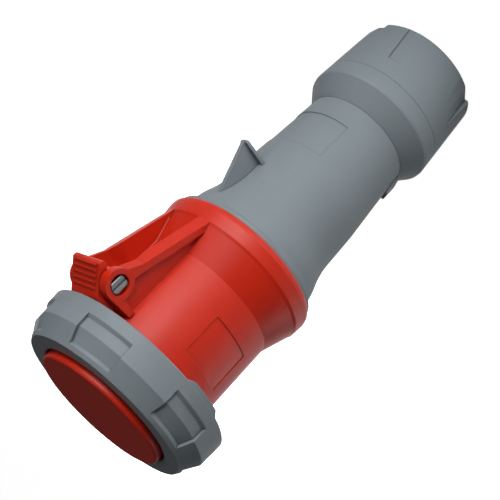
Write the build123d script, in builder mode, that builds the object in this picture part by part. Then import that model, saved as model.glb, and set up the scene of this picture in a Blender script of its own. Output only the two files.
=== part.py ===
"""Cable-mounted pin and sleeve connector with a hinged lid and a bayonet ring.

Five power contacts and one pilot contact sit behind the lid. The body stands on
the rear face of its cable gland nut: the origin is the centre of that face, +Z
runs along the main axis towards the lid, and the lid's hinge is on the +X side.
All lengths are in millimetres.
"""

from build123d import *
import math
import os

# Clearances and small edges
gap = 0.3
running_gap = 0.05
seat_gap = 0.1
edge = 0.8

# Barrel: the plug's collar slides inside it
collar_radius = 38.4
barrel_wall = 3.0
barrel_bore = collar_radius + gap
barrel_radius = barrel_bore + barrel_wall

# Bell and band at the barrel's rear end
bell_step = 6.3
bell_wall = 3.9
band_draft = 0.7
band_length = 10.4
flare_length = 18.7
bell_bore = barrel_bore + bell_step
band_radius = bell_bore + bell_wall
band_top_radius = band_radius - band_draft

# Rear housing radii, from the lip down to the threaded tail
lip_overhang = 1.5
shoulder_inset = 2.6
waist_depth = 6.2
waist_taper = 2.5
neck_taper = 1.6
tail_step = 0.7
housing_wall = 3.0
lip_radius = bell_bore + lip_overhang
shoulder_radius = bell_bore - shoulder_inset
waist_radius = shoulder_radius - waist_depth
hip_radius = waist_radius - waist_taper
neck_radius = hip_radius - neck_taper
thread_radius = neck_radius - tail_step

# Cable gland radii: seat, stop and hole
tail_wall = 5.4
seal_stop_step = 4.5
cable_hole_step = 2.0
seal_seat_radius = thread_radius - tail_wall
seal_stop_radius = seal_seat_radius - seal_stop_step
cable_hole_radius = seal_stop_radius - cable_hole_step

# Gland nut
nut_length = 59.3
nut_wall = 6.0
nut_flare = 3.1
nut_mouth_cone = 10.9
nut_mouth_wall = 1.6
nut_mouth_length = 5.0
nut_floor = 6.0
nut_lobe_count = 3
nut_lobe_angle = -124.5
nut_grip_height = 26.5
nut_grip_depth = 3.4
nut_step_depth = 0.8
nut_score_height = 38.3
nut_score_depth = 0.35
nut_thread_radius = thread_radius + gap + seat_gap * 2
nut_rear_radius = nut_thread_radius + nut_wall
nut_crease_radius = nut_rear_radius + nut_flare
nut_crease_height = nut_length - nut_mouth_cone

# Thrust ring and cable seal
thrust_flange = 3.4
thrust_sleeve = 12.2
thrust_slots = 8
thrust_slot_width = 2.0
seal_seat_height = 45.0
tail_mouth_height = 14.0
thrust_low = nut_floor + seat_gap
thrust_high = thrust_low + thrust_flange + thrust_sleeve
cable_seal_low = thrust_high + gap
cable_seal_high = seal_seat_height - gap

# Heights of the rear housing
shoulder_height = 158.3
lip_rise = 4.1
lip_edge = 2.5
swell_length = 27.0
waist_length = 22.3
hip_length = 31.0
lip_height = shoulder_height + lip_rise
swell_height = shoulder_height - swell_length
waist_height = swell_height - waist_length
hip_height = waist_height - hip_length

# Bare label panel and the small lug beside the nut
panel_length = 25.6
panel_half_angle = 42.0
panel_depth = 0.4
lug_angle = -141.0
lug_length = 13.8
lug_height = 3.9
lug_half_angle = 7.0
lug_low = nut_length + 2.2
panel_high = waist_height - 7.5
panel_low = panel_high - panel_length

# Nose on the rear housing, in line with the hinge
nose_reach = 17.2
nose_drop = 35.3
nose_tip = 1.8
nose_front_drop = 5.3
nose_web = 2.6
nose_flange_foot = 9.6
nose_flange_tip = 5.4
nose_flange_thickness = 2.0
nose_root = waist_radius - 1.2
nose_tip_x = waist_radius + nose_reach
nose_tip_low = shoulder_height - nose_drop
nose_tip_high = nose_tip_low + nose_tip
nose_front_height = shoulder_height - nose_front_drop

# Heights of the front housing
barrel_length = 98.8
bell_depth_length = 11.4
band_low = lip_height + lip_edge + gap
band_high = band_low + band_length
flare_high = band_high + flare_length
bell_top = band_low + bell_depth_length
rim_height = band_low + barrel_length

# Key and bare label window
keyway_width = 9.0
keyway_depth = 1.5
keyway_start = 20.0
window_drop = 29.5
window_length = 24.5
window_angle = -91.0
window_half_angle = 21.5
window_depth = 0.4
window_high = rim_height - window_drop
window_low = window_high - window_length

# Hinge: two cheeks with ribs on the barrel's +X side
pin_reach = 14.5
pin_drop = 28.6
pin_radius = 3.0
pin_head_radius = 4.9
pin_head_flats = 7.6
pin_slot_width = 1.1
pin_slot_tilt = 9.0
arm_half_width = 12.5
cheek_foot_inside = 11.3
cheek_web_half = 15.6
cheek_half_width = 18.6
boss_radius = 8.6
far_boss_half = 15.1
counterbore_radius = 5.65
counterbore_depth = 2.8
pin_x = barrel_radius + pin_reach
pin_z = rim_height - pin_drop
cheek_inside = arm_half_width + gap + seat_gap * 2

# Lid
gasket_thickness = 2.95
gasket_groove = 0.5
lid_plate_thickness = 3.8
lid_disc_rise = 8.0
lid_disc_inset = 1.9
lid_disc_round = 1.6
lid_plate_inset = 5.0
lid_wall = 3.0
arm_gap = 1.9
arm_thickness = 4.3
knuckle_radius = 7.0
tab_reach = 14.2
tab_drop = 0.6
tab_thickness = 4.3
tab_rib_count = 5
tab_rib_pitch = 3.0
tab_rib_height = 0.7
tab_rib_margin = 2.2
gasket_inside = barrel_bore - 1.5
gasket_outside = barrel_radius + 1.5
gasket_low = rim_height + gap
gasket_high = gasket_low + gasket_thickness
lid_plate_low = gasket_high + running_gap - gasket_groove
lid_plate_high = lid_plate_low + lid_plate_thickness
lid_top = lid_plate_high + lid_disc_rise
lid_disc_radius = barrel_radius - lid_disc_inset

# Bayonet lugs on the barrel
lock_lug_reach = 7.1
lock_lug_length = 4.0
lock_lug_half_angle = 14.0
lock_turn = 40.0
lock_lug_radius = barrel_radius + lock_lug_reach

# Bayonet ring
ring_length = 26.3
ring_cone = 10.2
ring_web = 3.7
ring_lug_room = 5.8
ring_wall = 3.9
ring_draft = 0.6
ring_face_inset = 7.3
ring_hole_gap = 1.1
ring_skirt = 5.2
ring_grip_count = 6
ring_grip_half_angle = 14.7
ring_grip_depth = 1.9
ring_grip_start = 6.9
ring_cam_reach = 8.3
ring_cam_thickness = 3.0
ring_cam_half_angle = 11.0
ring_cam_gap = 1.0
ring_nib_grip = 1.0
ring_nib_angles = (75.0, 135.0, 195.0, 255.0, 315.0)
ring_nib_half_angle = 6.0
ring_bump_height = 2.1
ring_bump_half_width = 10.6
ring_bump_slope = 4.4
ring_bore = lock_lug_radius + ring_lug_room
ring_radius = ring_bore + ring_wall
ring_edge_radius = ring_radius - ring_draft
ring_face_radius = ring_radius - ring_face_inset
ring_hole_radius = lid_disc_radius + ring_hole_gap
lid_plate_radius = ring_bore - lid_plate_inset
ring_neck = lid_plate_radius + gap + seat_gap
ring_inner_top = lid_plate_high + gap
ring_face_height = ring_inner_top + ring_web
ring_edge_height = ring_face_height - ring_cone
ring_low = ring_face_height - ring_length
ring_step_high = lid_plate_low - gap - seat_gap
lock_lug_low = ring_low + ring_skirt
lock_lug_high = lock_lug_low + lock_lug_length
cam_high = lock_lug_low - ring_cam_gap

# Seal ring between the housings
seal_thickness = 1.9
seal_height = 2.3
seal_squeeze = 0.2
seal_groove_drop = 5.6
spigot_radius = bell_bore - gap
spigot_bore = bell_bore - 5.5
carrier_flange_thickness = 3.7
flange_high = bell_top - gap
flange_low = flange_high - carrier_flange_thickness - seat_gap
spigot_top = flange_low - seat_gap * 2
seal_groove_low = spigot_top - seal_groove_drop
seal_groove_radius = spigot_radius - seal_thickness - seat_gap

# Contacts and their carrier
channel_width = 5.5
contact_circle = 19.0
phase_pin_radius = 4.0
earth_pin_radius = 5.0
pilot_pin_radius = 3.0
contact_wall = 1.9
contact_recess = 10.0
contact_bore_depth = 40.0
carrier_setback = 2.0
carrier_foot = 14.0
entry_gap = 0.6
terminal_wall = 2.6
terminal_length = 20.5
terminal_bore_depth = 14.0
terminal_screw_radius = 2.4
terminal_screw_height = 3.0
terminal_screw_offset = 3.6
terminal_screw_pitch = 6.6
plate_thickness = 3.6
plate_inset = 2.5
plate_screw_radius = 2.0
plate_screw_inset = 6.0
plate_screw_head = 2.4
plate_screw_grip = 11.0
plate_screw_count = 3
carrier_radius = barrel_bore - channel_width
carrier_face = rim_height - carrier_setback
contact_mouth = carrier_face - contact_recess
plate_high = flange_low - seat_gap
plate_low = plate_high - plate_thickness
plate_radius = spigot_bore - plate_inset
plate_screw_circle = plate_radius - plate_screw_inset
terminal_shoulder = plate_low - seat_gap
terminal_low = terminal_shoulder - terminal_length
pin_bores = {
    "phase": phase_pin_radius,
    "earth": earth_pin_radius,
    "pilot": pilot_pin_radius,
}


def meridian(angle):
    """Return the plane through Z at an angle from +X, with local y along +Z."""
    turn = math.radians(angle)
    return Plane(
        origin=(0, 0, 0),
        x_dir=(math.cos(turn), math.sin(turn), 0),
        z_dir=(math.sin(turn), -math.cos(turn), 0),
    )


def outline(points, plane=Plane.XZ):
    """Return the face bounded by straight lines through the points."""
    with BuildSketch(plane) as shape:
        with BuildLine():
            Polyline(*points, close=True)
        make_face()
    return shape.sketch


def sector(points, middle, half_angle):
    """Return an outline turned about Z over an arc centred on an angle."""
    face = outline(points, meridian(middle - half_angle))
    return revolve(face, axis=Axis.Z, revolution_arc=2 * half_angle, mode=Mode.PRIVATE)


def band(inside, outside, low, high):
    """Return the outline of a plain ring between two radii and two heights."""
    return [(inside, low), (outside, low), (outside, high), (inside, high)]


def polar(radius, angle):
    """Return the x and y of a point at a radius and an angle in degrees."""
    turn = math.radians(angle)
    return radius * math.cos(turn), radius * math.sin(turn)


def nut_radius(height):
    """Return the outside radius of the nut's long cone at a height."""
    return nut_rear_radius + nut_flare * height / nut_crease_height


def grip_face(height, depth, wall_angle, fade_angle):
    """Return the section of a grip that fades into the nut away from its wall."""
    middle_angle = (wall_angle + fade_angle) / 2
    radius = nut_radius(height)
    far = nut_crease_radius + 15
    return outline(
        [
            polar(radius - depth, wall_angle),
            polar(radius + 0.5 * gap - 0.5 * depth, middle_angle),
            polar(radius + gap, fade_angle),
            polar(far, fade_angle),
            polar(far, wall_angle),
        ],
        Plane.XY.offset(height),
    )


def cone_point(height, depth):
    """Return a point at a height on the ring's cone, sunk by a depth."""
    run = ring_face_height - ring_edge_height
    drop = ring_edge_radius - ring_face_radius
    length = math.hypot(run, drop)
    radius = ring_edge_radius - drop * (height - ring_edge_height) / run
    return radius - depth * run / length, height - depth * drop / length


def hinge_circle(radius, near, far):
    """Return a cylinder on the hinge axis between two places along Y."""
    with BuildSketch(Plane.XZ.offset(-far)) as disc:
        with Locations((pin_x, pin_z)):
            Circle(radius)
    return extrude(disc.sketch, amount=far - near, mode=Mode.PRIVATE)


os.makedirs("parts", exist_ok=True)

# Gland nut: a thick-walled cap nut with a conical mouth and sloped grips
with BuildPart() as gland_nut:
    revolve(
        outline(
            [
                (nut_thread_radius + edge, nut_length),
                (nut_thread_radius + edge, nut_length - nut_mouth_length),
                (nut_thread_radius, nut_length - nut_mouth_length - edge),
                (nut_thread_radius, nut_floor),
                (cable_hole_radius, nut_floor),
                (cable_hole_radius, 0),
                (nut_rear_radius - 1.4, 0),
                (nut_rear_radius - 0.2, 1.2),
                (nut_crease_radius - 0.1, nut_crease_height - edge),
                (nut_crease_radius - 0.4, nut_crease_height + edge),
                (nut_thread_radius + nut_mouth_wall, nut_length),
            ]
        ),
        axis=Axis.Z,
    )
    score_radius = nut_radius(nut_score_height)
    revolve(
        outline(
            [
                (score_radius + 1, nut_score_height - 0.9),
                (score_radius - nut_score_depth, nut_score_height),
                (score_radius + 1, nut_score_height + 0.9),
            ]
        ),
        axis=Axis.Z,
        mode=Mode.SUBTRACT,
    )
    for index in range(nut_lobe_count):
        lobe = nut_lobe_angle + index * 360.0 / nut_lobe_count
        # Deep grip that ends at a slanting wall and fades out the other way
        loft(
            [
                grip_face(-0.5, nut_grip_depth, lobe + 8, lobe + 43),
                grip_face(nut_grip_height, 0.2, lobe + 15, lobe + 36),
            ],
            ruled=True,
            mode=Mode.SUBTRACT,
        )
        # Shallow step on the other side of the lobe
        loft(
            [
                grip_face(-0.5, nut_step_depth, lobe - 16, lobe - 44),
                grip_face(nut_grip_height, nut_step_depth, lobe - 22, lobe - 44),
            ],
            ruled=True,
            mode=Mode.SUBTRACT,
        )
gland_nut.part.label = "gland_nut"
export_step(gland_nut.part, "parts/gland_nut.step")

# Thrust ring: slides with the nut, its slotted sleeve presses on the cable seal
thrust_bore = cable_hole_radius + edge
sleeve_outside = seal_seat_radius - gap - seat_gap
flange_outside = nut_thread_radius - gap - seat_gap * 4
with BuildPart() as thrust_ring:
    revolve(
        outline(
            [
                (thrust_bore, thrust_low),
                (flange_outside, thrust_low),
                (flange_outside, thrust_low + thrust_flange),
                (sleeve_outside, thrust_low + thrust_flange),
                (sleeve_outside, thrust_high),
                (thrust_bore, thrust_high),
            ]
        ),
        axis=Axis.Z,
    )
    with BuildSketch(Plane.XY.offset(thrust_high - 0.7 * thrust_sleeve)) as slots:
        with PolarLocations((thrust_bore + sleeve_outside) / 2, thrust_slots, start_angle=22.5):
            Rectangle(2 * (sleeve_outside - thrust_bore), thrust_slot_width)
    extrude(slots.sketch, amount=thrust_sleeve, mode=Mode.SUBTRACT)
thrust_ring.part.label = "thrust_ring"
export_step(thrust_ring.part, "parts/thrust_ring.step")

# Cable seal: soft sleeve between the thrust ring and the housing's stop
with BuildPart() as cable_seal:
    revolve(
        outline(
            band(thrust_bore, seal_seat_radius - gap, cable_seal_low, cable_seal_high)
        ),
        axis=Axis.Z,
    )
cable_seal.part.label = "cable_seal"
export_step(cable_seal.part, "parts/cable_seal.step")

# Rear housing: waisted shell with a threaded tail, a lip and a spigot
swell_radius = waist_radius + 0.7
bend_point = (swell_radius + 3.5, shoulder_height - 9.3)
inner_shoulder = shoulder_height - 4.0
with BuildPart() as rear_housing:
    with BuildSketch(Plane.XZ):
        with BuildLine():
            Polyline(
                (seal_seat_radius, tail_mouth_height),
                (thread_radius, tail_mouth_height),
                (thread_radius, nut_length - 1.7),
                (neck_radius, nut_length - 1),
                (hip_radius, hip_height),
                (waist_radius, waist_height),
            )
            waist_line = Line((waist_radius, waist_height), (swell_radius, swell_height))
            hollow = TangentArc(
                (swell_radius, swell_height), bend_point, tangent=waist_line % 1
            )
            TangentArc(bend_point, (shoulder_radius, shoulder_height), tangent=hollow % 1)
            Polyline(
                (shoulder_radius, shoulder_height),
                (shoulder_radius + 0.6, lip_height - 1.6),
                (lip_radius, lip_height + 0.2),
                (lip_radius, band_low - gap),
                (spigot_radius, band_low - gap),
                (spigot_radius, spigot_top),
                (spigot_bore, spigot_top),
                (spigot_bore, inner_shoulder),
                (swell_radius - housing_wall, swell_height + 4.0),
                (hip_radius - housing_wall, hip_height),
                (seal_stop_radius + 6.6, seal_seat_height + 9),
                (seal_stop_radius, seal_seat_height + 2.6),
                (seal_stop_radius, seal_seat_height),
                (seal_seat_radius, seal_seat_height),
                (seal_seat_radius, tail_mouth_height),
            )
        make_face()
    revolve(axis=Axis.Z)
    # Groove for the seal ring in the spigot
    revolve(
        outline(
            band(
                seal_groove_radius,
                spigot_radius + 1,
                seal_groove_low,
                seal_groove_low + seal_height + 2 * seat_gap,
            )
        ),
        axis=Axis.Z,
        mode=Mode.SUBTRACT,
    )
    # Bare label panel sunk into the waist, and the small lug beside the nut
    panel_slope = waist_taper / hip_length
    panel_base = waist_radius - (waist_height - panel_low) * panel_slope - panel_depth
    add(
        sector(
            [
                (panel_base, panel_low),
                (panel_base + 6, panel_low),
                (panel_base + 6, panel_high),
                (panel_base + panel_length * panel_slope, panel_high),
            ],
            0,
            panel_half_angle,
        ),
        mode=Mode.SUBTRACT,
    )
    add(
        sector(
            [
                (thread_radius, lug_low),
                (thread_radius + lug_height - 1.2, lug_low),
                (thread_radius + lug_height, lug_low + 6),
                (thread_radius + lug_height, lug_low + lug_length),
                (thread_radius, lug_low + lug_length),
            ],
            lug_angle,
            lug_half_angle,
        )
    )
    # Nose: a triangular web with a tapered flange along its rear edge
    extrude(
        outline(
            [
                (nose_root, nose_tip_low - 0.7),
                (nose_tip_x - 1, nose_tip_low),
                (nose_tip_x, nose_tip_high),
                (shoulder_radius - 0.8, nose_front_height),
                (shoulder_radius - 4.2, nose_front_height - 6),
                (nose_root, nose_front_height - 14),
            ]
        ),
        amount=nose_web / 2,
        both=True,
    )
    with BuildSketch(Plane.YZ.offset(nose_root)) as flange_foot:
        with Locations((0, nose_tip_low - 0.7 + nose_flange_thickness / 2)):
            Rectangle(nose_flange_foot, nose_flange_thickness)
    with BuildSketch(Plane.YZ.offset(nose_tip_x - 0.6)) as flange_tip:
        with Locations((0, nose_tip_low + nose_flange_thickness / 2)):
            Rectangle(nose_flange_tip, nose_flange_thickness)
    loft([flange_foot.sketch, flange_tip.sketch])
rear_housing.part.label = "rear_housing"
export_step(rear_housing.part, "parts/rear_housing.step")

# Seal ring of square section between the two housings
with BuildPart() as housing_seal:
    revolve(
        outline(
            band(
                spigot_radius - seal_thickness,
                spigot_radius + seal_squeeze,
                seal_groove_low + seat_gap,
                seal_groove_low + seat_gap + seal_height,
            )
        ),
        axis=Axis.Z,
    )
housing_seal.part.label = "housing_seal"
export_step(housing_seal.part, "parts/housing_seal.step")

# Front housing: hinge cheeks first, then the bell, flare and barrel over them
with BuildPart() as front_housing:
    # Block of both cheeks in side view, from the band to the bosses
    extrude(
        outline(
            [
                (barrel_bore, band_high),
                (pin_x + 5.8, band_high),
                (pin_x + 5.8, pin_z - 6.1),
                (pin_x - 1.0, pin_z + boss_radius - 0.1),
                (barrel_bore, pin_z + 6.0),
            ]
        ),
        amount=cheek_half_width,
        both=True,
    )
    # The ribs' outer edges lie on a cone about the main axis
    revolve(
        outline(
            [
                (barrel_bore - 1, band_high - 1),
                (band_top_radius, band_high - 1),
                (band_top_radius, band_high),
                (pin_x + 2.2, pin_z - 16.4),
                (pin_x + 7.0, pin_z - 6.1),
                (pin_x + boss_radius, pin_z + boss_radius),
                (barrel_bore - 1, pin_z + boss_radius),
            ]
        ),
        axis=Axis.Z,
        mode=Mode.INTERSECT,
    )
    # Side recesses between the rib, the leg and the barrel
    for side in (-1, 1):
        recess_plane = Plane(
            origin=(0, side * cheek_web_half, 0), x_dir=(1, 0, 0), z_dir=(0, -1, 0)
        )
        recess = outline(
            [
                (barrel_bore, pin_z + 2.2),
                (pin_x - 8.6, pin_z + 2.2),
                (pin_x - 3.2, pin_z - 8.3),
                (pin_x - 6.0, pin_z - 19.6),
                (pin_x - 9.6, pin_z - 33.5),
                (pin_x - 13.9, pin_z - 53.5),
                (barrel_bore, pin_z - 53.5),
            ],
            recess_plane,
        )
        extrude(
            recess,
            amount=-side * (cheek_half_width - cheek_web_half + 1),
            mode=Mode.SUBTRACT,
        )
    # Space between the cheeks, wider where the lid's knuckle and tab turn
    right_side = [
        (cheek_foot_inside, band_high - 1),
        (cheek_foot_inside, pin_z - 23.0),
        (cheek_inside, pin_z - 16.2),
        (cheek_inside, pin_z + boss_radius + 1),
    ]
    left_side = [(-y, z) for y, z in reversed(right_side)]
    space = outline(right_side + left_side, Plane.YZ.offset(barrel_bore - 1))
    extrude(space, amount=pin_reach + 20, mode=Mode.SUBTRACT)
    # The near boss stands out to the rib's side, the far one stays short
    add(
        hinge_circle(boss_radius + gap, far_boss_half, cheek_half_width + 1),
        mode=Mode.SUBTRACT,
    )
    add(hinge_circle(boss_radius, -cheek_half_width, -cheek_inside))
    add(hinge_circle(boss_radius, cheek_inside, far_boss_half))
    # Barrel, flare and band
    revolve(
        outline(
            [
                (barrel_bore - 4, rim_height),
                (barrel_radius - 0.6, rim_height),
                (barrel_radius, rim_height - 0.6),
                (barrel_radius, flare_high),
                (band_top_radius - edge, band_high + 2 * edge),
                (band_top_radius, band_high),
                (band_radius, band_low + 3.4),
                (band_radius - 0.3, band_low + 1.4),
                (band_radius - 1.4, band_low),
                (barrel_bore - 4, band_low),
            ]
        ),
        axis=Axis.Z,
    )
    # Bore for the hinge pin and the counterbore for its head
    add(
        hinge_circle(pin_radius + running_gap, -cheek_half_width - 1, cheek_half_width + 1),
        mode=Mode.SUBTRACT,
    )
    add(
        hinge_circle(
            counterbore_radius, -cheek_half_width - 1, counterbore_depth - cheek_half_width
        ),
        mode=Mode.SUBTRACT,
    )
    # Bayonet lugs round the barrel, hidden by the ring when the lid is shut
    for lug in (90.0 - lock_turn, 270.0 - lock_turn):
        add(
            sector(
                [
                    (barrel_radius - 1.5, lock_lug_low),
                    (lock_lug_radius, lock_lug_low),
                    (lock_lug_radius, lock_lug_high - 2),
                    (barrel_radius + 2, lock_lug_high),
                    (barrel_radius - 1.5, lock_lug_high),
                ],
                lug,
                lock_lug_half_angle,
            )
        )
    # Barrel bore with its keyway, the bell, and the bare label window
    revolve(
        outline(
            [
                (0, band_low - 1),
                (bell_bore, band_low - 1),
                (bell_bore, bell_top),
                (barrel_bore, bell_top),
                (barrel_bore, rim_height + 1),
                (0, rim_height + 1),
            ]
        ),
        axis=Axis.Z,
        mode=Mode.SUBTRACT,
    )
    with BuildSketch(Plane.XY.offset(bell_top + keyway_start)) as keyway:
        with Locations((-barrel_bore + 2 - keyway_depth, 0)):
            Rectangle(4, keyway_width)
    extrude(keyway.sketch, amount=barrel_length, mode=Mode.SUBTRACT)
    add(
        sector(
            band(
                barrel_radius - window_depth, barrel_radius + 2, window_low, window_high
            ),
            window_angle,
            window_half_angle,
        ),
        mode=Mode.SUBTRACT,
    )
front_housing.part.label = "front_housing"
export_step(front_housing.part, "parts/front_housing.step")

# Hinge pin with a slotted, two-flat head
slot_turn = math.radians(pin_slot_tilt)
head_plane = Plane(
    origin=(pin_x, counterbore_depth - running_gap - cheek_half_width, pin_z),
    x_dir=(math.sin(slot_turn), 0, -math.cos(slot_turn)),
    z_dir=(0, -1, 0),
)
with BuildPart() as hinge_pin:
    add(
        hinge_circle(
            pin_radius, counterbore_depth - running_gap - cheek_half_width, far_boss_half
        )
    )
    with BuildSketch(head_plane) as head:
        Circle(pin_head_radius)
        Rectangle(3 * pin_head_radius, pin_head_flats, mode=Mode.INTERSECT)
    extrude(head.sketch, amount=counterbore_depth - 0.6)
    with BuildSketch(head_plane.offset(counterbore_depth - 1.6)) as slot:
        Rectangle(3 * pin_head_radius, pin_slot_width)
    extrude(slot.sketch, amount=2.0, mode=Mode.SUBTRACT)
hinge_pin.part.label = "hinge_pin"
export_step(hinge_pin.part, "parts/hinge_pin.step")

# Lid: plate held inside the ring, raised disc, arm, knuckle and thumb tab
arm_inside = barrel_radius + arm_gap
arm_outside = arm_inside + arm_thickness
tab_top = ring_low - 3 * gap
face_start = Vector(pin_x - 0.6, tab_top)
face_end = Vector(pin_x + tab_reach, pin_z - tab_drop)
along = (face_end - face_start).normalized()
inward = Vector(along.Y, -along.X)


def tab_point(back, depth):
    """Return a point of the tab: back from its tip and down from its face."""
    place = face_end - along * back + inward * depth
    return place.X, place.Y


with BuildPart() as lid:
    revolve(
        outline(
            [
                (0, lid_plate_low),
                (lid_plate_radius, lid_plate_low),
                (lid_plate_radius, lid_plate_high),
                (lid_disc_radius, lid_plate_high),
                (lid_disc_radius, lid_top),
                (0, lid_top),
            ]
        ),
        axis=Axis.Z,
    )
    fillet(lid.edges().sort_by(Axis.Z)[-1], radius=lid_disc_round)
    extrude(
        outline(
            [
                (arm_inside, lid_plate_low + 1),
                (arm_inside, pin_z + 9.5),
                (pin_x - knuckle_radius, pin_z + 3.0),
                (pin_x - knuckle_radius, pin_z),
                (pin_x, pin_z - knuckle_radius + 1.0),
                tab_point(10.5, tab_thickness),
                tab_point(1.2, tab_thickness),
                tab_point(0, tab_thickness - 1.4),
                tab_point(0, 1.4),
                tab_point(1.2, 0),
                (face_start.X, face_start.Y),
                (arm_outside, tab_top),
                (arm_outside, lid_plate_low + 1),
            ]
        ),
        amount=arm_half_width,
        both=True,
    )
    add(hinge_circle(knuckle_radius, -arm_half_width, arm_half_width))
    # Ribs across the thumb tab
    for index in range(tab_rib_count):
        step = tab_rib_margin + index * tab_rib_pitch
        rib = [
            tab_point(step + 0.7, 0.4),
            tab_point(step - 0.7, 0.4),
            tab_point(step - 0.4, -tab_rib_height),
            tab_point(step + 0.4, -tab_rib_height),
        ]
        extrude(outline(rib), amount=arm_half_width - tab_rib_margin, both=True)
    add(
        hinge_circle(pin_radius + running_gap, -arm_half_width - 1, arm_half_width + 1),
        mode=Mode.SUBTRACT,
    )
    # Cored underside and the gasket groove
    core_radius = gasket_inside - running_gap - 0.6
    revolve(
        outline(band(0, core_radius, lid_plate_low - 1, lid_top - lid_wall)),
        axis=Axis.Z,
        mode=Mode.SUBTRACT,
    )
    revolve(
        outline(
            band(
                gasket_inside - running_gap,
                gasket_outside + running_gap,
                lid_plate_low - 1,
                lid_plate_low + gasket_groove,
            )
        ),
        axis=Axis.Z,
        mode=Mode.SUBTRACT,
    )
lid.part.label = "lid"
export_step(lid.part, "parts/lid.step")

with BuildPart() as lid_gasket:
    revolve(
        outline(band(gasket_inside, gasket_outside, gasket_low, gasket_high)),
        axis=Axis.Z,
    )
lid_gasket.part.label = "lid_gasket"
export_step(lid_gasket.part, "parts/lid_gasket.step")

# Bayonet ring: turned shell, six grip pockets, cams and snap nibs
grip_outline = [
    (ring_radius + 2, ring_low + ring_grip_start - 0.9),
    (ring_radius, ring_low + ring_grip_start),
    (ring_radius - ring_grip_depth, ring_low + ring_grip_start + 2.0),
    cone_point(ring_edge_height, ring_grip_depth),
    cone_point(ring_face_height - 3.4, ring_grip_depth),
    cone_point(ring_face_height - 2.2, 0),
    cone_point(ring_face_height - 1.4, -2.0),
    (ring_radius + 4, ring_face_height),
]
nib_radius = lid_plate_radius - ring_nib_grip
with BuildPart() as bayonet_ring:
    revolve(
        outline(
            [
                (ring_bore, ring_low),
                (ring_radius - 0.6, ring_low),
                (ring_radius, ring_low + 0.6),
                (ring_edge_radius, ring_edge_height),
                (ring_face_radius, ring_face_height),
                (ring_hole_radius + edge, ring_face_height),
                (ring_hole_radius, ring_face_height - edge),
                (ring_hole_radius, ring_inner_top),
                (ring_neck, ring_inner_top),
                (ring_neck, ring_step_high),
                (ring_bore, ring_step_high - 4.4),
            ]
        ),
        axis=Axis.Z,
    )
    for index in range(ring_grip_count):
        grip = 30.0 + index * 360.0 / ring_grip_count
        add(sector(grip_outline, grip, ring_grip_half_angle), mode=Mode.SUBTRACT)
    for cam in (90.0, 270.0):
        add(
            sector(
                band(
                    ring_bore - ring_cam_reach,
                    ring_bore + 1,
                    cam_high - ring_cam_thickness,
                    cam_high,
                ),
                cam,
                ring_cam_half_angle,
            )
        )
        bump = extrude(
            outline(
                [
                    (-ring_bump_half_width - ring_bump_slope, ring_low + edge),
                    (-ring_bump_half_width, ring_low - ring_bump_height),
                    (ring_bump_half_width, ring_low - ring_bump_height),
                    (ring_bump_half_width + ring_bump_slope, ring_low + edge),
                ]
            ),
            amount=math.copysign(ring_radius + 1, cam - 180),
            mode=Mode.PRIVATE,
        )
        bump_shell = revolve(
            outline(band(ring_bore, ring_radius - 0.2, ring_low - 5, ring_low + edge)),
            axis=Axis.Z,
            mode=Mode.PRIVATE,
        )
        add(bump & bump_shell)
    for nib in ring_nib_angles:
        add(
            sector(
                [
                    (nib_radius, ring_step_high - 1.6),
                    (nib_radius + 1.0, ring_step_high - 2.1),
                    (ring_bore - 1.4, ring_step_high - 2.1),
                    (ring_neck + 0.6, ring_step_high),
                    (nib_radius, ring_step_high),
                ],
                nib,
                ring_nib_half_angle,
            )
        )
bayonet_ring.part.label = "bayonet_ring"
export_step(bayonet_ring.part, "parts/bayonet_ring.step")

# Contact carrier: flanged block with six stepped holes
contact_names = ["contact_earth", "contact_1", "contact_2", "contact_3", "contact_neutral"]
sites = []
for index, name in enumerate(contact_names):
    kind = "earth" if name == "contact_earth" else "phase"
    angle = (180.0 + 72.0 * index) % 360.0
    sites.append((name, kind, angle, *polar(contact_circle, angle)))
sites.append(("contact_pilot", "pilot", 180.0, 0.0, 0.0))
with BuildPart() as contact_carrier:
    revolve(
        outline(
            [
                (0, flange_low),
                (bell_bore - 2 * gap, flange_low),
                (bell_bore - 2 * gap, flange_high - seat_gap),
                (barrel_bore - gap, flange_high - seat_gap),
                (barrel_bore - gap, bell_top + carrier_foot),
                (carrier_radius, bell_top + carrier_foot),
                (carrier_radius, carrier_face),
                (0, carrier_face),
            ]
        ),
        axis=Axis.Z,
    )
    for name, kind, angle, x, y in sites:
        sleeve = pin_bores[kind] + contact_wall
        with BuildSketch(Plane.XY.offset(flange_low - 1)) as sleeve_hole:
            with Locations((x, y)):
                Circle(sleeve + seat_gap)
        extrude(
            sleeve_hole.sketch,
            amount=contact_mouth + seat_gap - flange_low + 1,
            mode=Mode.SUBTRACT,
        )
        with BuildSketch(Plane.XY.offset(contact_mouth)) as entry_hole:
            with Locations((x, y)):
                Circle(pin_bores[kind] + entry_gap)
        extrude(entry_hole.sketch, amount=contact_recess + 1, mode=Mode.SUBTRACT)
    with BuildSketch(Plane.XY.offset(flange_low - 1)) as screw_holes:
        with PolarLocations(plate_screw_circle, plate_screw_count):
            Circle(plate_screw_radius + seat_gap)
    extrude(screw_holes.sketch, amount=plate_screw_grip + 2, mode=Mode.SUBTRACT)
contact_carrier.part.label = "contact_carrier"
export_step(contact_carrier.part, "parts/contact_carrier.step")

# Retaining plate behind the carrier, held by its screws
with BuildPart() as retaining_plate:
    with BuildSketch(Plane.XY.offset(plate_low)) as plate_face:
        Circle(plate_radius)
        for name, kind, angle, x, y in sites:
            with Locations((x, y)):
                Circle(pin_bores[kind] + contact_wall + seat_gap, mode=Mode.SUBTRACT)
        with PolarLocations(plate_screw_circle, plate_screw_count):
            Circle(plate_screw_radius + seat_gap, mode=Mode.SUBTRACT)
    extrude(plate_face.sketch, amount=plate_thickness)
retaining_plate.part.label = "retaining_plate"
export_step(retaining_plate.part, "parts/retaining_plate.step")

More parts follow.
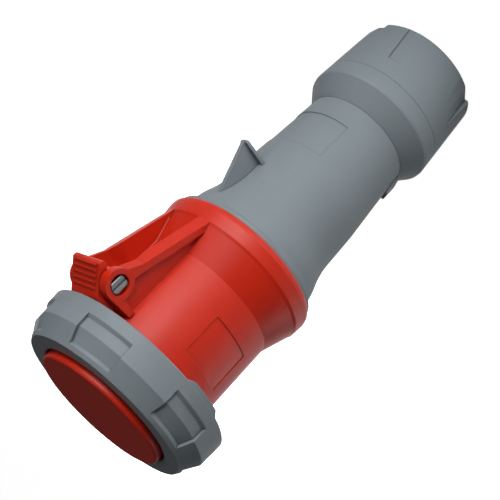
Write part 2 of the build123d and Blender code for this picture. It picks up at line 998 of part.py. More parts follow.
head_low = plate_low - seat_gap - plate_screw_head
with BuildPart() as plate_screws:
    with BuildSketch(Plane.XY.offset(head_low)) as screw_heads:
        with PolarLocations(plate_screw_circle, plate_screw_count):
            RegularPolygon(1.8 * plate_screw_radius, 6, major_radius=False)
    extrude(screw_heads.sketch, amount=plate_screw_head)
    with BuildSketch(Plane.XY.offset(head_low)) as screw_shanks:
        with PolarLocations(plate_screw_circle, plate_screw_count):
            Circle(plate_screw_radius)
    extrude(screw_shanks.sketch, amount=flange_low + plate_screw_grip - head_low)
plate_screws.part.label = "plate_screws"
export_step(plate_screws.part, "parts/plate_screws.step")

# Contacts: a sleeve in front, a hexagonal wire terminal behind the plate
for name, kind, angle, x, y in sites:
    bore = pin_bores[kind]
    with BuildPart() as contact:
        with BuildSketch(Plane.XY.offset(terminal_low)) as block:
            with Locations((x, y)):
                RegularPolygon(bore + terminal_wall, 6, major_radius=False, rotation=angle + 30)
        extrude(block.sketch, amount=terminal_length)
        with BuildSketch(Plane.XY.offset(terminal_shoulder)) as tube:
            with Locations((x, y)):
                Circle(bore + contact_wall)
        extrude(tube.sketch, amount=contact_mouth - terminal_shoulder)
        with BuildSketch(Plane.XY.offset(contact_mouth)) as socket:
            with Locations((x, y)):
                Circle(bore)
        extrude(socket.sketch, amount=-contact_bore_depth, mode=Mode.SUBTRACT)
        with BuildSketch(Plane.XY.offset(terminal_low)) as wire_hole:
            with Locations((x, y)):
                Circle(bore)
        extrude(wire_hole.sketch, amount=terminal_bore_depth, mode=Mode.SUBTRACT)
    contact.part.label = name
    export_step(contact.part, f"parts/{name}.step")

# Clamp screws: two to a power terminal, on the flat that faces outwards
with BuildPart() as terminal_screws:
    for name, kind, angle, x, y in sites[:-1]:
        reach = contact_circle + pin_bores[kind] + terminal_wall + seat_gap
        for step in (0.0, terminal_screw_pitch):
            height = terminal_low + terminal_screw_offset + step
            seat = Plane(
                origin=(*polar(reach, angle), height), z_dir=(*polar(1.0, angle), 0)
            )
            with BuildSketch(seat) as screw_head:
                RegularPolygon(terminal_screw_radius, 6, major_radius=False)
            extrude(screw_head.sketch, amount=terminal_screw_height)
terminal_screws.part.label = "terminal_screws"
export_step(terminal_screws.part, "parts/terminal_screws.step")
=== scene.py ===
"""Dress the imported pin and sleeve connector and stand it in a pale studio.

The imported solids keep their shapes. This file gives each of them a moulded,
drawn or turned finish, adds the fine pieces that the solids leave out, such as
the gland thread and the rounded feet of the hinge cheeks, and sets up the
camera, the lamps and the floor. All lengths are in metres, +Z runs from the
gland nut to the lid, and the lid's hinge is on the +X side.
"""

import logging
import math
from dataclasses import dataclass
from enum import Enum
from typing import Any, Optional, Union

import bmesh
import bpy
import numpy as np
from mathutils import Matrix, Vector


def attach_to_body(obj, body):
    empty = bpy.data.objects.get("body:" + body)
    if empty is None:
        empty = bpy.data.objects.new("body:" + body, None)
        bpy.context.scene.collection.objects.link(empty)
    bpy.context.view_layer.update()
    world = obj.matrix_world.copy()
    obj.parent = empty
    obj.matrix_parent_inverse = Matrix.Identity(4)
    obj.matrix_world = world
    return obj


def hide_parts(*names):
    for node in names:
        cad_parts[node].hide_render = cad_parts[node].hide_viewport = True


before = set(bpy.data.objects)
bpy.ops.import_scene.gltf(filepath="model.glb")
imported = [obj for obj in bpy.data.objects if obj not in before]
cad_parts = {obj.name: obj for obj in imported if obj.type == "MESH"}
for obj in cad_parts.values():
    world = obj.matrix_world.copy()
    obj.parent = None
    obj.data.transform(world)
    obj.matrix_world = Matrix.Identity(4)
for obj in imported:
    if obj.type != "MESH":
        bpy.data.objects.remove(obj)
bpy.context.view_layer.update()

LOG = logging.getLogger("connector")
MM = 0.001
BEVEL_SAMPLES = 4
CREASE_SAMPLES = 6

Colour = tuple[float, float, float]
Number = Union[int, float]


class Sock:
    """One output socket of a node tree, with arithmetic that adds Math nodes."""

    def __init__(self, graph: "Graph", socket: bpy.types.NodeSocket) -> None:
        """Keep the graph that the socket belongs to."""
        self.graph = graph
        self.socket = socket

    def _math(self, operation: str, *values: Union["Sock", Number]) -> "Sock":
        """Add one Math node.

        Args:
            operation: the node's operation, such as MULTIPLY.
            values: its inputs, in order, as sockets or numbers.

        Returns:
            The node's output.
        """
        return self.graph.add(
            "ShaderNodeMath", {"operation": operation}, dict(enumerate(values))
        )

    def __add__(self, other: Union["Sock", Number]) -> "Sock":
        """Return self + other."""
        return self._math("ADD", self, other)

    __radd__ = __add__

    def __sub__(self, other: Union["Sock", Number]) -> "Sock":
        """Return self - other."""
        return self._math("SUBTRACT", self, other)

    def __rsub__(self, other: Union["Sock", Number]) -> "Sock":
        """Return other - self."""
        return self._math("SUBTRACT", other, self)

    def __mul__(self, other: Union["Sock", Number]) -> "Sock":
        """Return self * other."""
        return self._math("MULTIPLY", self, other)

    def __truediv__(self, other: Union["Sock", Number]) -> "Sock":
        """Return self / other."""
        return self._math("DIVIDE", self, other)

    def __pow__(self, other: Union["Sock", Number]) -> "Sock":
        """Return self ** other."""
        return self._math("POWER", self, other)

    def clamped(self) -> "Sock":
        """Return self held between 0 and 1."""
        return self._math("MINIMUM", self._math("MAXIMUM", self, 0.0), 1.0)

    def above(self, limit: Number, blur: Number) -> "Sock":
        """Return 0 below a limit and 1 above it, with a ramp blur wide."""
        return ((self - limit) / blur + 0.5).clamped()

    def part(self, axis: str) -> "Sock":
        """Return the X, Y or Z part of a vector."""
        return self.graph.add("ShaderNodeSeparateXYZ", {}, {0: self}, out=axis)


class Graph:
    """The node tree of a material or a world, built with expressions."""

    def __init__(self, name: str, world: Optional[bpy.types.World] = None) -> None:
        """Make an empty tree with an output node.

        Args:
            name: the new material's name.
            world: the world whose tree it is, where it isn't a material's.
        """
        owner = world or bpy.data.materials.new(name)
        owner.use_nodes = True
        self.material = owner
        self.tree = owner.node_tree
        self.tree.nodes.clear()
        kind = "ShaderNodeOutputWorld" if world else "ShaderNodeOutputMaterial"
        self.output = self.tree.nodes.new(kind)

    def add(
        self,
        kind: str,
        settings: Optional[dict[str, Any]] = None,
        inputs: Optional[dict[Union[str, int], Any]] = None,
        out: Union[str, int] = 0,
    ) -> Sock:
        """Add one node of any type.

        Args:
            kind: the node's type name.
            settings: its properties, set before its inputs.
            inputs: values or Socks for its input sockets, by name or index.
            out: the output socket to return, by name or index.

        Returns:
            The chosen output.
        """
        node = self.tree.nodes.new(kind)
        for key, value in (settings or {}).items():
            setattr(node, key, value)
        for key, value in (inputs or {}).items():
            if isinstance(value, Sock):
                self.tree.links.new(value.socket, node.inputs[key])
            else:
                node.inputs[key].default_value = value
        return Sock(self, node.outputs[out])

    def object_coords(self) -> Sock:
        """Return the Object output of a Texture Coordinate node."""
        return self.add("ShaderNodeTexCoord", out="Object")

    def noise(
        self, coords: Sock, scale: float, detail: float = 2.0, rough: float = 0.5
    ) -> Sock:
        """Return a noise value between 0 and 1.

        Args:
            coords: the coordinates it reads.
            scale: its frequency, in 1/m.
            detail: how many octaves it has.
            rough: how strong the finer octaves are.

        Returns:
            The noise factor.
        """
        return self.add(
            "ShaderNodeTexNoise",
            {},
            {"Vector": coords, "Scale": scale, "Detail": detail, "Roughness": rough},
            out="Fac",
        )

    def mix(
        self, factor: Sock, low: Union[Sock, Colour], high: Union[Sock, Colour]
    ) -> Sock:
        """Blend two colours.

        Args:
            factor: 0 for the low colour and 1 for the high one.
            low: a Sock, or a colour that is the same all over.
            high: a Sock, or a colour that is the same all over.

        Returns:
            The blended colour.
        """
        ends = [end if isinstance(end, Sock) else (*end, 1.0) for end in (low, high)]
        return self.add(
            "ShaderNodeMix",
            {"data_type": "RGBA"},
            {0: factor, 6: ends[0], 7: ends[1]},
            out=2,
        )

    def creases(self, reach: float) -> Sock:
        """Return 0 on open faces, rising to 1 deep in a groove or corner.

        Args:
            reach: how far a neighbouring face still counts, in metres.

        Returns:
            One minus the share of the surroundings that is open.
        """
        settings = {"samples": CREASE_SAMPLES}
        return 1.0 - self.add(
            "ShaderNodeAmbientOcclusion", settings, {"Distance": reach}, out="AO"
        )

    def softened(self, radius: float) -> Sock:
        """Return the normal of edges rounded to a radius."""
        settings = {"samples": BEVEL_SAMPLES}
        return self.add("ShaderNodeBevel", settings, {"Radius": radius})

    def bump(
        self,
        height: Sock,
        strength: float,
        distance: float,
        normal: Optional[Sock] = None,
    ) -> Sock:
        """Return a normal that follows a height.

        Args:
            height: the height, 0 to about 1.
            strength: the share of the bump that shows.
            distance: the height that 1 stands for, in metres.
            normal: the normal that it starts from, where it isn't the mesh's.

        Returns:
            The new normal.
        """
        inputs = {"Strength": strength, "Distance": distance, "Height": height}
        if normal is not None:
            inputs["Normal"] = normal
        return self.add("ShaderNodeBump", {}, inputs)

    def surface(self, shader: Sock) -> bpy.types.Material:
        """Connect a shader to the output and return the material."""
        self.tree.links.new(shader.socket, self.output.inputs["Surface"])
        return self.material


def tinted(colour: Colour, gain: float) -> Colour:
    """Return a colour with each channel multiplied by gain."""
    return tuple(min(1.0, channel * gain) for channel in colour)


class Side(Enum):
    """The two hinge cheeks, by the sign of y on which they stand."""

    NEAR = -1
    FAR = 1


@dataclass(frozen=True)
class Window:
    """A polished field on a round wall, between two heights and two azimuths."""

    azimuth: float
    half_angle: float
    low: float
    high: float
    polish: float
    cosine_blur: float = 0.002
    height_blur: float = 0.1 * MM

    def inside(self, coords: Sock) -> Sock:
        """Return 1 inside the field and 0 outside it.

        The cosine of the angle from the field's middle is the place's part
        along that direction over its distance from the axis.

        Args:
            coords: the Object coordinates.

        Returns:
            The field's mask.
        """
        turn = math.radians(self.azimuth)
        x, y, z = (coords.part(axis) for axis in "XYZ")
        reach = (x * x + y * y) ** 0.5
        cosine = (x * math.cos(turn) + y * math.sin(turn)) / reach
        limit = math.cos(math.radians(self.half_angle))
        over = z.above(self.low, self.height_blur)
        under = 1.0 - z.above(self.high, self.height_blur)
        return cosine.above(limit, self.cosine_blur) * over * under


@dataclass(frozen=True)
class MouldedPlastic:
    """Injection-moulded plastic with a fine tool texture.

    The height is a fine grain plus half a slow sink wave. The colour drifts by a
    few percent with the sink wave and the scuffs, and so does the roughness.
    Grooves and corners carry painted shade: an ambient occlusion mask darkens
    them. Scales are in 1/m.
    """

    name: str
    colour: Colour
    roughness: float
    specular: float = 0.25
    drift: float = 0.05
    edge_radius: float = 0.5 * MM
    crease_reach: float = 1.4 * MM
    crease_tone: float = 0.3
    crease_start: float = 0.08
    crease_gain: float = 1.5
    sink_scale: float = 18.0
    sink_share: float = 0.7
    sink_rough: float = 0.06
    scuff_scale: float = 160.0
    scuff_share: float = 0.3
    scuff_rough: float = 0.04
    grain_scale: float = 2600.0
    grain_strength: float = 0.10
    grain_height: float = 0.05 * MM
    window: Optional[Window] = None

    def material(self) -> bpy.types.Material:
        """Build this plastic's nodes.

        Returns:
            The new material.
        """
        graph = Graph(self.name)
        coords = graph.object_coords()
        slow = graph.noise(coords, self.sink_scale, 3.0, 0.55)
        scuffs = graph.noise(coords, self.scuff_scale, 5.0, 0.65)
        grain = graph.noise(coords, self.grain_scale, 2.0, 0.6)
        tone = (slow * self.sink_share + scuffs * self.scuff_share).clamped()
        base = graph.mix(
            tone,
            tinted(self.colour, 1.0 - self.drift),
            tinted(self.colour, 1.0 + self.drift),
        )
        # Painted shade: the base colour darkens towards crease_tone in grooves and
        # corners, by an ambient occlusion mask.
        deep = graph.creases(self.crease_reach) - self.crease_start
        crease_shade = (deep * self.crease_gain).clamped()
        base = graph.mix(crease_shade, base, tinted(self.colour, self.crease_tone))
        least = self.roughness - (self.sink_rough + self.scuff_rough) / 2
        rough = least + slow * self.sink_rough + scuffs * self.scuff_rough
        if self.window is not None:
            rough = rough - self.window.inside(coords) * self.window.polish
        softened = graph.softened(self.edge_radius)
        height = grain + slow * 0.5
        normal = graph.bump(height, self.grain_strength, self.grain_height, softened)
        shader = graph.add(
            "ShaderNodeBsdfPrincipled",
            {},
            {
                "Base Color": base,
                "Roughness": rough,
                "Normal": normal,
                "Specular IOR Level": self.specular,
                "IOR": 1.5,
            },
        )
        return graph.surface(shader)


@dataclass(frozen=True)
class Elastomer:
    """Moulded rubber: dark, matt and very slightly dusty. Scales are in 1/m."""

    name: str
    colour: Colour = (0.018, 0.018, 0.019)
    roughness: float = 0.72
    dust_scale: float = 240.0
    dust_tone: float = 2.2
    dust_rough: float = 0.15
    rough_shift: float = 0.08
    grain_scale: float = 1900.0
    grain_strength: float = 0.2
    grain_height: float = 0.04 * MM

    def material(self) -> bpy.types.Material:
        """Build this rubber's nodes.

        Returns:
            The new material.
        """
        graph = Graph(self.name)
        coords = graph.object_coords()
        dust = graph.noise(coords, self.dust_scale, 4.0, 0.6)
        fine = graph.noise(coords, self.grain_scale, 2.0, 0.5)
        dusty = tinted(self.colour, self.dust_tone)
        least = self.roughness - self.rough_shift
        shader = graph.add(
            "ShaderNodeBsdfPrincipled",
            {},
            {
                "Base Color": graph.mix(dust, self.colour, dusty),
                "Roughness": dust * self.dust_rough + least,
                "Normal": graph.bump(fine, self.grain_strength, self.grain_height),
            },
        )
        return graph.surface(shader)


@dataclass(frozen=True)
class TurnedMetal:
    """Turned or drawn metal with fine marks.

    The marks are a noise squeezed fortyfold along one axis, so they lie as thin
    bands square to it. Scales are in 1/m.
    """

    name: str
    colour: Colour
    roughness: float
    squeeze: tuple[float, float, float] = (1.0, 1.0, 40.0)
    mark_scale: float = 90.0
    mark_rough: float = 0.12
    mark_strength: float = 0.15
    mark_height: float = 0.03 * MM
    stain_scale: float = 140.0
    stain_tone: float = 0.86
    clean_tone: float = 1.04
    edge_radius: float = 0.15 * MM

    def material(self) -> bpy.types.Material:
        """Build this metal's nodes.

        Returns:
            The new material.
        """
        graph = Graph(self.name)
        coords = graph.object_coords()
        squeezed = graph.add(
            "ShaderNodeMapping", {}, {"Vector": coords, "Scale": self.squeeze}
        )
        marks = graph.noise(squeezed, self.mark_scale, 4.0, 0.6)
        stains = graph.noise(coords, self.stain_scale, 3.0, 0.5)
        stained = tinted(self.colour, self.stain_tone)
        clean = tinted(self.colour, self.clean_tone)
        least = self.roughness - self.mark_rough / 2
        softened = graph.softened(self.edge_radius)
        normal = graph.bump(marks, self.mark_strength, self.mark_height, softened)
        shader = graph.add(
            "ShaderNodeBsdfPrincipled",
            {},
            {
                "Base Color": graph.mix(stains, stained, clean),
                "Metallic": 1.0,
                "Roughness": marks * self.mark_rough + least,
                "Normal": normal,
            },
        )
        return graph.surface(shader)


GREY = MouldedPlastic("moulded grey", (0.215, 0.25, 0.27), 0.48)
LABEL_WINDOW = Window(-91.0, 21.5, 210.0 * MM, 234.5 * MM, 0.25)
RED = MouldedPlastic(
    "moulded red", (0.60, 0.020, 0.004), 0.40, specular=0.35, window=LABEL_WINDOW
)
BLACK_MOULDING = MouldedPlastic("moulded black", (0.03, 0.032, 0.035), 0.5)
CARRIER = MouldedPlastic("moulded charcoal", (0.045, 0.048, 0.052), 0.45)
RUBBER = Elastomer("seal rubber")
PIN_STEEL = TurnedMetal("drawn steel", (0.27, 0.28, 0.29), 0.36, (40.0, 1.0, 1.0))
ZINC = TurnedMetal("zinc plate", (0.60, 0.60, 0.58), 0.38)
BRASS = TurnedMetal("turned brass", (0.78, 0.58, 0.27), 0.30)


def dress(node: str, material: bpy.types.Material) -> None:
    """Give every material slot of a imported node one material.

    Args:
        node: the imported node's name.
        material: the material it gets.
    """
    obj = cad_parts[node]
    if not obj.material_slots:
        obj.data.materials.append(material)
    for slot in obj.material_slots:
        slot.material = material
    LOG.info("dressed %s with %s", node, material.name)


def grid_mesh(
    name: str, points: np.ndarray, wrap_u: bool = False, wrap_v: bool = False
) -> bpy.types.Object:
    """Make a mesh object from a grid of points.

    Faces join point (i, j) to (i+1, j), (i+1, j+1) and (i, j+1), and point
    outwards when u x v does.

    Args:
        name: the object's name.
        points: an array of shape (rows, columns, 3), in metres.
        wrap_u: whether the last row joins the first.
        wrap_v: whether the last column joins the first.

    Returns:
        The linked object, shaded smooth.
    """
    rows, cols = points.shape[:2]
    i = np.arange(rows if wrap_u else rows - 1)
    j = np.arange(cols if wrap_v else cols - 1)
    ii, jj = (g.ravel() for g in np.meshgrid(i, j, indexing="ij"))
    nxt_i, nxt_j = (ii + 1) % rows, (jj + 1) % cols
    quads = np.stack(
        [ii * cols + jj, nxt_i * cols + jj, nxt_i * cols + nxt_j, ii * cols + nxt_j], 1
    )
    mesh = bpy.data.meshes.new(name)
    mesh.from_pydata(points.reshape(-1, 3).tolist(), [], quads.tolist())
    mesh.polygons.foreach_set("use_smooth", np.ones(len(quads), dtype=bool))
    mesh.update()
    obj = bpy.data.objects.new(name, mesh)
    bpy.context.scene.collection.objects.link(obj)
    return obj


def close_mesh(obj: bpy.types.Object, sharp_angle: float = 40.0) -> None:
    """Merge a closed piece's doubles, turn its faces outwards, keep crisp edges.

    Args:
        obj: the piece.
        sharp_angle: edges that bend more than this many degrees stay sharp.
    """
    work = bmesh.new()
    work.from_mesh(obj.data)
    bmesh.ops.remove_doubles(work, verts=work.verts, dist=1e-6)
    bmesh.ops.dissolve_degenerate(work, dist=1e-6, edges=work.edges)
    bmesh.ops.recalc_face_normals(work, faces=work.faces)
    work.to_mesh(obj.data)
    work.free()
    obj.data.set_sharp_from_angle(angle=math.radians(sharp_angle))


def tube_mesh(name: str, loops: np.ndarray) -> bpy.types.Object:
    """Make a closed piece from a row of equal closed sections.

    Each section is a ring of points, the rings are joined by quads, and the
    first and last ring are closed by a fan to their own middle.

    Args:
        name: the object's name.
        loops: an array of shape (sections, points, 3), in metres.

    Returns:
        The linked object, with its faces outwards.
    """
    middles = loops[[0, -1]].mean(axis=1, keepdims=True)
    caps = np.repeat(middles, loops.shape[1], axis=1)
    obj = grid_mesh(name, np.concatenate([caps[:1], loops, caps[1:]]), wrap_v=True)
    close_mesh(obj)
    return obj


def attach(
    obj: bpy.types.Object, body: str, material: bpy.types.Material
) -> None:
    """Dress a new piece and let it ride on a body.

    Args:
        obj: the new piece.
        body: the moving body that carries it.
        material: its finish.
    """
    obj.data.materials.append(material)
    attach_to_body(obj, body)
    LOG.info("added %s on %s", obj.name, body)


@dataclass
class GlandEnd:
    """The nut, its thrust ring and the cable seal, with the hidden thread."""

    thread_root: float = 31.42 * MM
    thread_rise: float = 0.36 * MM
    thread_pitch: float = 3.0 * MM
    thread_low: float = 17.0 * MM
    thread_high: float = 53.0 * MM
    thread_share: float = 0.8
    thread_sink: float = 0.3 * MM
    thread_least: float = 0.02
    thread_steps: int = 72
    crest_points: int = 9
    lip_steps: int = 128
    lip_section: tuple[tuple[float, float], ...] = (
        (32.28, 58.2),
        (32.28, 60.7),
        (32.38, 60.85),
        (33.46, 59.3),
        (33.3, 59.1),
        (32.76, 59.1),
        (32.76, 58.2),
    )

    def thread(self) -> bpy.types.Object:
        """Make the rounded screw thread on the rear housing.

        The section is a half-ellipse (rise * sin t outwards, half the pitch *
        the thread's share of it * cos t along the axis), closed by two points
        inside the tail, and carried round a helix whose height grows by one
        pitch a turn. The rise fades to almost nothing at both ends.

        Returns:
            The thread's object.
        """
        turns = (self.thread_high - self.thread_low) / self.thread_pitch
        steps = int(turns * self.thread_steps)
        turn = np.linspace(0.0, turns * 2 * np.pi, steps)[:, None]
        lean = np.linspace(0.0, np.pi, self.crest_points)[None, :]
        ends = np.minimum(turn, turn[-1] - turn) / np.pi
        fade = np.clip(ends, self.thread_least, 1.0)
        crest = self.thread_root + self.thread_rise * np.sin(lean) * fade
        back = np.full((len(turn), 2), self.thread_root - self.thread_sink)
        radius = np.concatenate([crest, back], 1)
        half = self.thread_share / 2 * self.thread_pitch
        reach = np.concatenate([-half * np.cos(lean), [[half, -half]]], 1)
        height = self.thread_low + turn / (2 * np.pi) * self.thread_pitch + reach
        points = np.stack([radius * np.cos(turn), radius * np.sin(turn), height], 2)
        return tube_mesh("gland_thread", points)

    def lip(self) -> bpy.types.Object:
        """Make the thin lip that closes the nut's mouth round the neck.

        A closed section of (radius, height) points, in millimetres, is turned
        about the axis.

        Returns:
            The lip's object.
        """
        section = np.array(self.lip_section) * MM
        turn = np.linspace(0.0, 2 * np.pi, self.lip_steps, endpoint=False)[:, None]
        radius, height = section[None, :, 0], section[None, :, 1]
        points = np.stack(
            [radius * np.cos(turn), radius * np.sin(turn), height + 0 * turn], 2
        )
        obj = grid_mesh("gland_nut_lip", points, wrap_u=True, wrap_v=True)
        close_mesh(obj)
        return obj

    def build(self, grey: bpy.types.Material, rubber: bpy.types.Material) -> None:
        """Dress the gland's solids and add the thread and the lip.

        Args:
            grey: the grey plastic.
            rubber: the seal's rubber.
        """
        dress("gland_nut", grey)
        dress("thrust_ring", BLACK_MOULDING.material())
        dress("cable_seal", rubber)
        attach(self.thread(), "housing", grey)
        attach(self.lip(), "gland_nut", grey)


@dataclass
class ContactSet:
    """The contacts, their carrier and the screws behind it."""

    nodes: tuple[str, ...] = (
        "contact_earth",
        "contact_1",
        "contact_2",
        "contact_3",
        "contact_neutral",
        "contact_pilot",
    )

    def build(self) -> None:
        """Dress the carrier, the contacts and their screws."""
        carrier = CARRIER.material()
        dress("contact_carrier", carrier)
        dress("retaining_plate", carrier)
        brass = BRASS.material()
        for node in self.nodes:
            dress(node, brass)
        zinc = ZINC.material()
        dress("plate_screws", zinc)
        dress("terminal_screws", zinc)


@dataclass
class HingePin:
    """The steel pin, with a slotted head that two flats narrow."""

    x: float = 56.2 * MM
    z: float = 235.4 * MM
    shank_radius: float = 3.0 * MM
    head_radius: float = 4.75 * MM
    head_half: float = 3.3 * MM
    seat_y: float = -15.85 * MM
    face_y: float = -17.9 * MM
    far_y: float = 15.1 * MM
    chamfer: float = 0.3 * MM
    slot_half: float = 0.62 * MM
    slot_draft: float = 0.04 * MM
    slot_floor_y: float = -16.7 * MM
    score_place: float = -1.75 * MM
    score_half: float = 0.16 * MM
    score_depth: float = 0.12 * MM
    tilt: float = -1.5
    rim_share: float = 0.97
    shank_overlap: float = 0.1 * MM
    shank_steps: int = 48

    def head(self) -> bpy.types.Object:
        """Make the head with its flats, its slot and a fine turned score.

        A section across the slot gives a height for each place v. It is carried
        along the slot's direction to both sides as far as the head's circle
        reaches there, which is the root of (head_radius squared - v squared).

        Returns:
            The head's object, closed behind.
        """
        half, cut, draft = self.head_half, self.slot_half, self.slot_draft
        full, low = self.seat_y - self.face_y, self.seat_y - self.slot_floor_y
        score, fine = self.score_place, self.score_half
        section = np.array(
            [
                (-half, 0.0),
                (-half, full - self.chamfer),
                (-half + self.chamfer, full),
                (score - fine, full),
                (score, full - self.score_depth),
                (score + fine, full),
                (-cut - self.chamfer / 2, full),
                (-cut - draft, full - self.chamfer / 2),
                (-cut, low),
                (cut, low),
                (cut + draft, full - self.chamfer / 2),
                (cut + self.chamfer / 2, full),
                (half - self.chamfer, full),
                (half, full - self.chamfer),
                (half, 0.0),
            ]
        )
        v, height = section.T
        reach = np.sqrt(self.head_radius**2 - v**2)
        inner = self.rim_share
        rim = np.array([-1.0, -1.0, -inner, inner, 1.0, 1.0])[:, None]
        drop = np.array([0.0, 1.0, 1.0, 1.0, 1.0, 0.0])[:, None]
        along = rim * reach[None, :]
        rise = drop * height[None, :]
        edge = np.abs(rim) == 1.0
        eased = np.maximum(rise - self.chamfer / 2, 0)
        rise = np.where(edge & (rise > 0.0), eased, rise)
        turn = math.radians(self.tilt)
        across = np.broadcast_to(v[None, :], along.shape)
        x = self.x + along * math.sin(turn) + across * math.cos(turn)
        z = self.z - along * math.cos(turn) + across * math.sin(turn)
        points = np.stack([x, self.seat_y - rise, z], 2)
        obj = grid_mesh("hinge_pin_head", points, wrap_u=True)
        close_mesh(obj, 30.0)
        return obj

    def shank(self) -> bpy.types.Object:
        """Make the round shank, with a chamfer at its far end.

        It is a row of circles along y, and the last one is smaller.

        Returns:
            The shank's object.
        """
        start = self.seat_y - self.shank_overlap
        y = np.array([start, self.far_y - self.chamfer, self.far_y])
        radius = np.array([self.shank_radius] * 2 + [self.shank_radius - self.chamfer])
        turn = np.linspace(0.0, 2 * np.pi, self.shank_steps, endpoint=False)[None, :]
        loops = np.stack(
            [
                self.x + radius[:, None] * np.cos(turn),
                y[:, None] + 0 * turn,
                self.z + radius[:, None] * np.sin(turn),
            ],
            2,
        )
        return tube_mesh("hinge_pin_shank", loops)

    def build(self, steel: bpy.types.Material) -> None:
        """Put the pin's two pieces where its solid is.

        Args:
            steel: the pin's finish.
        """
        for piece in (self.head(), self.shank()):
            attach(piece, "housing", steel)
            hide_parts("hinge_pin")


@dataclass
class Housings:
    """The two housing halves, the seal and the fillets between the cheeks."""

    wall: float = 11.3 * MM
    fillet: float = 1.2 * MM
    barrel_radius: float = 41.7 * MM
    cone_radius: float = 47.4 * MM
    cone_low: float = 177.2 * MM
    cone_high: float = 194.3 * MM
    straight_high: float = 212.4 * MM
    fillet_high: float = 217.5 * MM
    wall_lean: float = 0.25
    fade_low: float = 4.0 * MM
    fade_high: float = 9.0 * MM
    fade_least: float = 0.12
    sink: float = 0.25 * MM
    rows: int = 40
    arc_points: int = 11

    def foot_fillet(self, side: Side) -> bpy.types.Object:
        """Make the rounded foot of one cheek's inner wall.

        At each height the section is a hollow arc of a small radius f, which
        touches the wall at y = wall and the housing's circle of radius R. Its
        centre is at y = wall - f, R + f from the axis. Two points inside the
        housing close it. f fades out at both ends.

        Args:
            side: the cheek that it belongs to.

        Returns:
            The fillet's object.
        """
        z = np.linspace(self.cone_low, self.fillet_high, self.rows)[:, None]
        radius = np.interp(
            z, [self.cone_low, self.cone_high], [self.cone_radius, self.barrel_radius]
        )
        wall = self.wall + np.maximum(z - self.straight_high, 0.0) * self.wall_lean
        low_end = (z - self.cone_low) / self.fade_low
        high_end = (self.fillet_high - z) / self.fade_high
        ends = np.minimum(low_end, high_end)
        f = self.fillet * np.clip(ends, self.fade_least, 1.0)
        middle_y = wall - f
        middle_x = np.sqrt((radius + f) ** 2 - middle_y**2)
        stop = np.pi + np.arctan2(middle_y, middle_x)
        share = np.linspace(0.0, 1.0, self.arc_points)[None, :]
        turn = np.pi / 2 + (stop - np.pi / 2) * share
        arc_x = middle_x + f * np.cos(turn)
        arc_y = middle_y + f * np.sin(turn)
        inner = (radius - self.sink) / (radius + f)
        back_x = np.concatenate([middle_x * inner, arc_x[:, :1]], 1)
        back_y = np.concatenate([middle_y * inner, arc_y[:, :1]], 1) + self.sink
        x = np.concatenate([arc_x, back_x], 1)
        y = np.concatenate([arc_y, back_y], 1)
        loops = np.stack([x, side.value * y, z + 0 * x], 2)
        return tube_mesh(f"cheek_fillet_{side.name.lower()}", loops)

    def build(
        self,
        grey: bpy.types.Material,
        red: bpy.types.Material,
        rubber: bpy.types.Material,
    ) -> None:
        """Dress the housings and their seal, and add the pin and the fillets.

        Args:
            grey: the rear housing's plastic.
            red: the front housing's plastic.
            rubber: the seal's rubber.
        """
        dress("rear_housing", grey)
        dress("front_housing", red)
        dress("housing_seal", rubber)
        steel = PIN_STEEL.material()
        dress("hinge_pin", steel)
        HingePin().build(steel)
        for side in Side:
            attach(self.foot_fillet(side), "housing", red)


@dataclass
class LidAssembly:
    """The lid, its gasket and the bayonet ring."""

    def build(
        self,
        grey: bpy.types.Material,
        red: bpy.types.Material,
        rubber: bpy.types.Material,
    ) -> None:
        """Dress the lid, its gasket and the ring.

        Args:
            grey: the ring's plastic.
            red: the lid's plastic.
            rubber: the gasket's rubber.
        """
        dress("lid", red)
        dress("lid_gasket", rubber)
        dress("bayonet_ring", grey)


@dataclass(frozen=True)
class Lamp:
    """One area lamp, aimed at a point or straight down at the floor.

    Its distance is from the object's axis. A lamp whose mirrored is False is
    hidden from mirrored rays, so it lights the object but gives no highlight.
    """

    name: str
    azimuth: float
    height: float
    distance: float
    width: float
    tall: float
    power: float
    floor_spread: Optional[float] = None
    mirrored: bool = True

    def build(self, target: Vector) -> None:
        """Place the lamp round the axis and aim it.

        Args:
            target: the point that it faces, in metres.
        """
        data = bpy.data.lights.new(self.name, "AREA")
        data.shape = "RECTANGLE"
        data.size = self.width
        data.size_y = self.tall
        data.energy = self.power
        turn = math.radians(self.azimuth)
        place = Vector(
            (
                self.distance * math.cos(turn),
                self.distance * math.sin(turn),
                self.height,
            )
        )
        if self.floor_spread is not None:
            data.spread = math.radians(self.floor_spread)
            target = Vector((place.x, place.y, 0.0))
        obj = bpy.data.objects.new(self.name, data)
        obj.location = place
        obj.visible_glossy = self.mirrored
        obj.rotation_euler = (target - place).to_track_quat("-Z", "Y").to_euler()
        bpy.context.scene.collection.objects.link(obj)


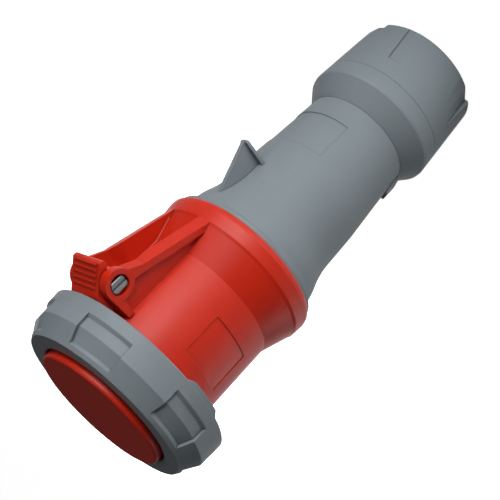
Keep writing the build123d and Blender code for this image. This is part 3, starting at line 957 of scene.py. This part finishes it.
@dataclass
class Studio:
    """Camera, lamps, pale world and floor."""

    camera_place: tuple[float, float, float] = (0.373230, -0.523250, 0.410466)
    camera_right: Colour = (-0.444899, -0.627904, -0.638593)
    camera_up: Colour = (0.715002, 0.180347, -0.675461)
    camera_back: Colour = (0.539293, -0.757107, 0.368716)
    lens: float = 90.166
    sensor: float = 36.0
    aim_height: float = 0.14
    floor_size: float = 60.0
    floor_drop: float = 0.2 * MM
    floor_tone: float = 0.86
    floor_glow: float = 0.9
    mirrored_glow: float = 0.28
    backdrop_height: float = 0.08
    ambient: float = 0.03
    overhead: float = 0.13
    lamps: tuple[Lamp, ...] = (
        Lamp("key", -30.0, 0.13, 1.6, 0.5, 0.24, 9.5),
        Lamp("key side", -10.0, 0.13, 1.6, 0.5, 0.24, 4.9),
        Lamp("high side", -10.0, 1.2, 1.6, 0.5, 0.6, 3.2),
        Lamp("far fill", 40.0, 2.2, 1.6, 0.5, 0.9, 2.0),
        Lamp("rear fill", -155.0, 0.13, 1.6, 0.5, 0.24, 1.3),
        Lamp("back", 140.0, 0.13, 1.6, 1.3, 0.4, 7.5, mirrored=False),
        Lamp("back bounce", 125.0, 0.5, 0.75, 0.8, 0.8, 2.0, 60.0),
        Lamp("key bounce", -30.0, 0.5, 0.75, 0.8, 0.8, 2.4, 60.0),
        Lamp("near bounce", -50.0, 0.12, 0.24, 0.25, 0.25, 0.25, 60.0),
        Lamp("nut bounce", -105.0, 0.12, 0.24, 0.25, 0.25, 0.16, 60.0),
        Lamp("rear bounce", -155.0, 0.5, 0.75, 0.8, 0.8, 1.5, 60.0),
    )

    def camera(self) -> None:
        """Set the camera at the photograph's viewing angle."""
        data = bpy.data.cameras.new("camera")
        data.sensor_width = self.sensor
        data.lens = self.lens
        data.clip_start = 0.01
        obj = bpy.data.objects.new("camera", data)
        rows = Matrix((self.camera_right, self.camera_up, self.camera_back))
        axes = rows.transposed().to_4x4()
        obj.matrix_world = Matrix.Translation(self.camera_place) @ axes
        bpy.context.scene.collection.objects.link(obj)
        bpy.context.scene.camera = obj

    def floor(self) -> None:
        """Make the pale floor, which the camera sees as near white.

        Camera and transmission rays see floor_glow added to its diffuse colour,
        so the floor is white and the object's shadow stays on it. Mirrored rays
        see mirrored_glow of that, so metal shows the floor dimly.
        """
        graph = Graph("pale floor")
        camera = graph.add("ShaderNodeLightPath", out="Is Camera Ray")
        glossy = graph.add("ShaderNodeLightPath", out="Is Glossy Ray")
        through = graph.add("ShaderNodeLightPath", out="Is Transmission Ray")
        path = (camera + glossy * self.mirrored_glow + through).clamped()
        shader = graph.add(
            "ShaderNodeBsdfPrincipled",
            {},
            {
                "Base Color": (*[self.floor_tone] * 3, 1.0),
                "Roughness": 0.9,
                "Specular IOR Level": 0.0,
                "Emission Color": (1.0, 1.0, 1.0, 1.0),
                "Emission Strength": path * self.floor_glow,
            },
        )
        half = self.floor_size / 2
        line = np.linspace(-half, half, 3)
        x, y = np.meshgrid(line, line, indexing="ij")
        level = 0 * x - self.floor_drop
        floor = grid_mesh("floor", np.stack([x, y, level], 2))
        floor.data.materials.append(graph.surface(shader))

    def world(self) -> None:
        """Make the world a soft light, dim near the horizon.

        Its strength is ambient plus overhead * z * z, where z is the height of
        the direction on the unit sphere. The camera sees 1 more, a plain white
        backdrop. Mirrored rays see mirrored_glow more at the horizon, which
        falls to nothing at backdrop_height.
        """
        world = bpy.data.worlds.new("studio")
        bpy.context.scene.world = world
        graph = Graph("studio", world)
        height = graph.add("ShaderNodeTexCoord", out="Generated").part("Z").clamped()
        path = {
            kind: graph.add("ShaderNodeLightPath", out=f"Is {kind} Ray")
            for kind in ("Camera", "Glossy", "Transmission")
        }
        low = (1.0 - height / self.backdrop_height).clamped()
        mirrored = path["Glossy"] * low * self.mirrored_glow
        shown = (path["Camera"] + path["Transmission"] + mirrored).clamped()
        strength = height * height * self.overhead + self.ambient + shown
        background = graph.add(
            "ShaderNodeBackground",
            {},
            {"Color": (1.0, 1.0, 1.0, 1.0), "Strength": strength},
        )
        graph.surface(background)

    def build(self) -> None:
        """Set up the camera, the world, the floor and the lamps."""
        self.camera()
        self.world()
        self.floor()
        for lamp in self.lamps:
            lamp.build(Vector((0.0, 0.0, self.aim_height)))
        bpy.context.scene.view_settings.view_transform = "Standard"


def main() -> None:
    """Build the studio and every sub-assembly."""
    logging.basicConfig(level=logging.INFO, format="%(name)s: %(message)s")
    Studio().build()
    grey = GREY.material()
    red = RED.material()
    rubber = RUBBER.material()
    GlandEnd().build(grey, rubber)
    Housings().build(grey, red, rubber)
    LidAssembly().build(grey, red, rubber)
    ContactSet().build()


if __name__ == "__main__":
    main()
